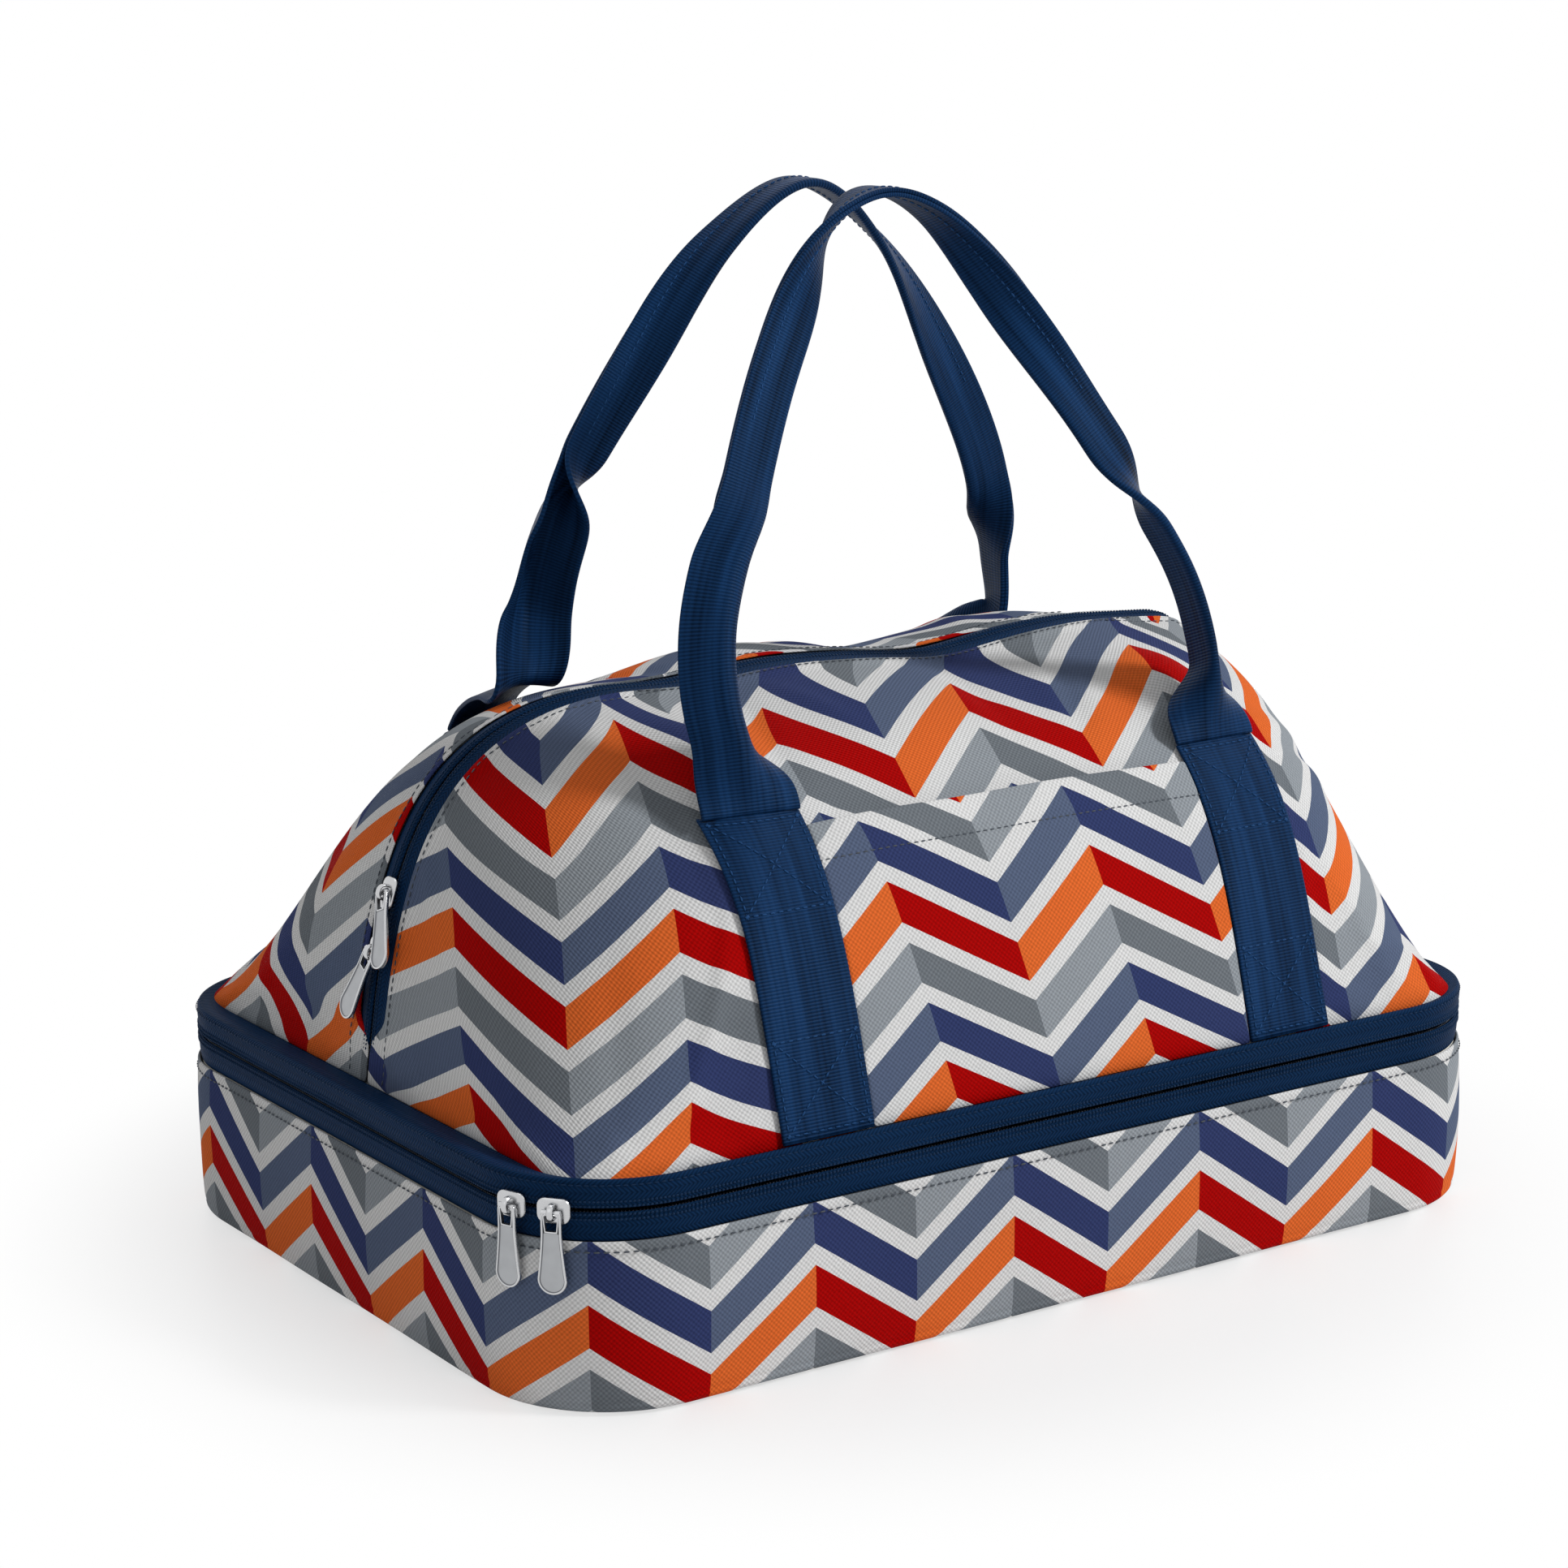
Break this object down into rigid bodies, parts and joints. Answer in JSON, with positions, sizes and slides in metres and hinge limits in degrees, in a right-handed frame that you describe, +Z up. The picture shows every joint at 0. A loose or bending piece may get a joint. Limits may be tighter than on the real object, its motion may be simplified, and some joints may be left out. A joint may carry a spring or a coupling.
{
  "type": "casserole carrier",
  "caption": "Soft casserole carrier: a padded zip-up dish compartment under a tent-shaped tote with a zip mouth, slip pocket and webbing carry handles, in chevron-striped canvas.",
  "frame": {"origin": "middle of the flat bottom of the lower compartment, on the surface that it stands on", "axes": "+Z up, +X to the right along the long side, -Y towards the front with the slip pocket"},
  "size_m": [0.4329, 0.312, 0.3943],
  "materials": {
    "canvas": "woven polyester canvas, printed chevron, matte",
    "navy_webbing": "dense woven webbing, slight sheen",
    "navy_tape": "herringbone woven zip tape, matte",
    "coil_nylon": "nylon zip coil, semi-matte",
    "grey_lining": "smooth coated lining, satin",
    "white_foam": "closed-cell insulating foam",
    "stiff_board": "stiff plastic sheet",
    "zinc_silver": "plated die-cast zinc, satin bright"
  },
  "bodies": {
    "base": {"base_side_band": "canvas", "base_bottom_panel": "canvas", "base_bottom_board": "stiff_board", "base_bottom_foam": "white_foam", "base_side_foam": "white_foam", "base_lining": "grey_lining", "base_zip_tape_lower": "navy_tape", "base_zip_coil_lower": "coil_nylon", "hinge_strip_lower": "navy_tape"},
    "tote": {"lid_zip_tape_upper": "navy_tape", "lid_zip_coil_upper": "coil_nylon", "hinge_strip_upper": "navy_tape", "deck_upper_lining": "grey_lining", "deck_foam": "white_foam", "deck_lower_lining": "grey_lining", "front_panel": "canvas", "back_panel": "canvas", "front_lining": "grey_lining", "back_lining": "grey_lining", "top_zip_tape_back": "navy_tape", "top_zip_coil_back": "coil_nylon", "top_zip_tape_left_end": "navy_tape", "top_zip_tape_right_end": "navy_tape", "top_zip_coil_left_end": "coil_nylon", "top_zip_coil_right_end": "coil_nylon", "strap_front_left": "navy_webbing", "strap_front_right": "navy_webbing", "strap_back_left": "navy_webbing", "strap_back_right": "navy_webbing", "slip_pocket": "canvas"},
    "mouth_flap": {"front_roof": "canvas", "front_roof_lining": "grey_lining", "top_zip_tape_front": "navy_tape", "top_zip_coil_front": "coil_nylon"},
    "front_handle": {"front_handle_loop": "navy_webbing"},
    "back_handle": {"back_handle_loop": "navy_webbing"},
    "base_slider_left": {"base_slider_left": "zinc_silver"},
    "base_pull_left": {"base_pull_left": "zinc_silver"},
    "base_slider_front": {"base_slider_front": "zinc_silver"},
    "base_pull_front": {"base_pull_front": "zinc_silver"},
    "top_slider_upper": {"top_slider_upper": "zinc_silver"},
    "top_pull_upper": {"top_pull_upper": "zinc_silver"},
    "top_slider_lower": {"top_slider_lower": "zinc_silver"},
    "top_pull_lower": {"top_pull_lower": "zinc_silver"}
  },
  "joints": [
    {"name": "lid_hinge", "type": "hinge", "parent": "base", "child": "tote", "pos_m": [0, 0.1558, 0.0728], "axis": [-1, 0, 0], "range_deg": [0, 100]},
    {"name": "mouth_fold", "type": "hinge", "parent": "tote", "child": "mouth_flap", "pos_m": [0, -0.1002, 0.19], "axis": [1, 0, 0], "range_deg": [0, 40]},
    {"name": "front_handle_fold", "type": "hinge", "parent": "tote", "child": "front_handle", "pos_m": [0, -0.1087, 0.187], "axis": [1, 0, 0], "range_deg": [0, 140]},
    {"name": "back_handle_fold", "type": "hinge", "parent": "tote", "child": "back_handle", "pos_m": [0, 0.0994, 0.187], "axis": [-1, 0, 0], "range_deg": [0, 120]},
    {"name": "base_slider_left_travel", "type": "hinge", "parent": "base", "child": "base_slider_left", "pos_m": [-0.164, -0.105, 0.0728], "axis": [0, 0, -1], "range_deg": [0, 19]},
    {"name": "base_slider_front_travel", "type": "hinge", "parent": "base", "child": "base_slider_front", "pos_m": [-0.164, -0.105, 0.0728], "axis": [0, 0, 1], "range_deg": [0, 50]},
    {"name": "base_pull_left_swing", "type": "hinge", "parent": "base_slider_left", "child": "base_pull_left", "pos_m": [-0.21517, -0.12362, 0.0728], "axis": [-0.342, 0.9397, 0], "range_deg": [0, 120]},
    {"name": "base_pull_front_swing", "type": "hinge", "parent": "base_slider_front", "child": "base_pull_front", "pos_m": [-0.20691, -0.13852, 0.0728], "axis": [-0.6157, 0.788, 0], "range_deg": [0, 120]},
    {"name": "top_slider_upper_travel", "type": "hinge", "parent": "tote", "child": "top_slider_upper", "pos_m": [-0.08635, 0, 0.11712], "axis": [0, 1, 0], "range_deg": [0, 18]},
    {"name": "top_slider_lower_travel", "type": "slide", "parent": "tote", "child": "top_slider_lower", "axis": [-0.1879, 0, -0.9822], "range_m": [0, 0.015]},
    {"name": "top_pull_upper_swing", "type": "hinge", "parent": "top_slider_upper", "child": "top_pull_upper", "pos_m": [-0.19331, 0, 0.15127], "axis": [-0.1311, 0.9135, -0.385], "range_deg": [0, 110]},
    {"name": "top_pull_lower_swing", "type": "hinge", "parent": "top_slider_lower", "child": "top_pull_lower", "pos_m": [-0.19922, 0, 0.12986], "axis": [0.089, 0.9135, 0.3969], "range_deg": [0, 110]}
  ]
}
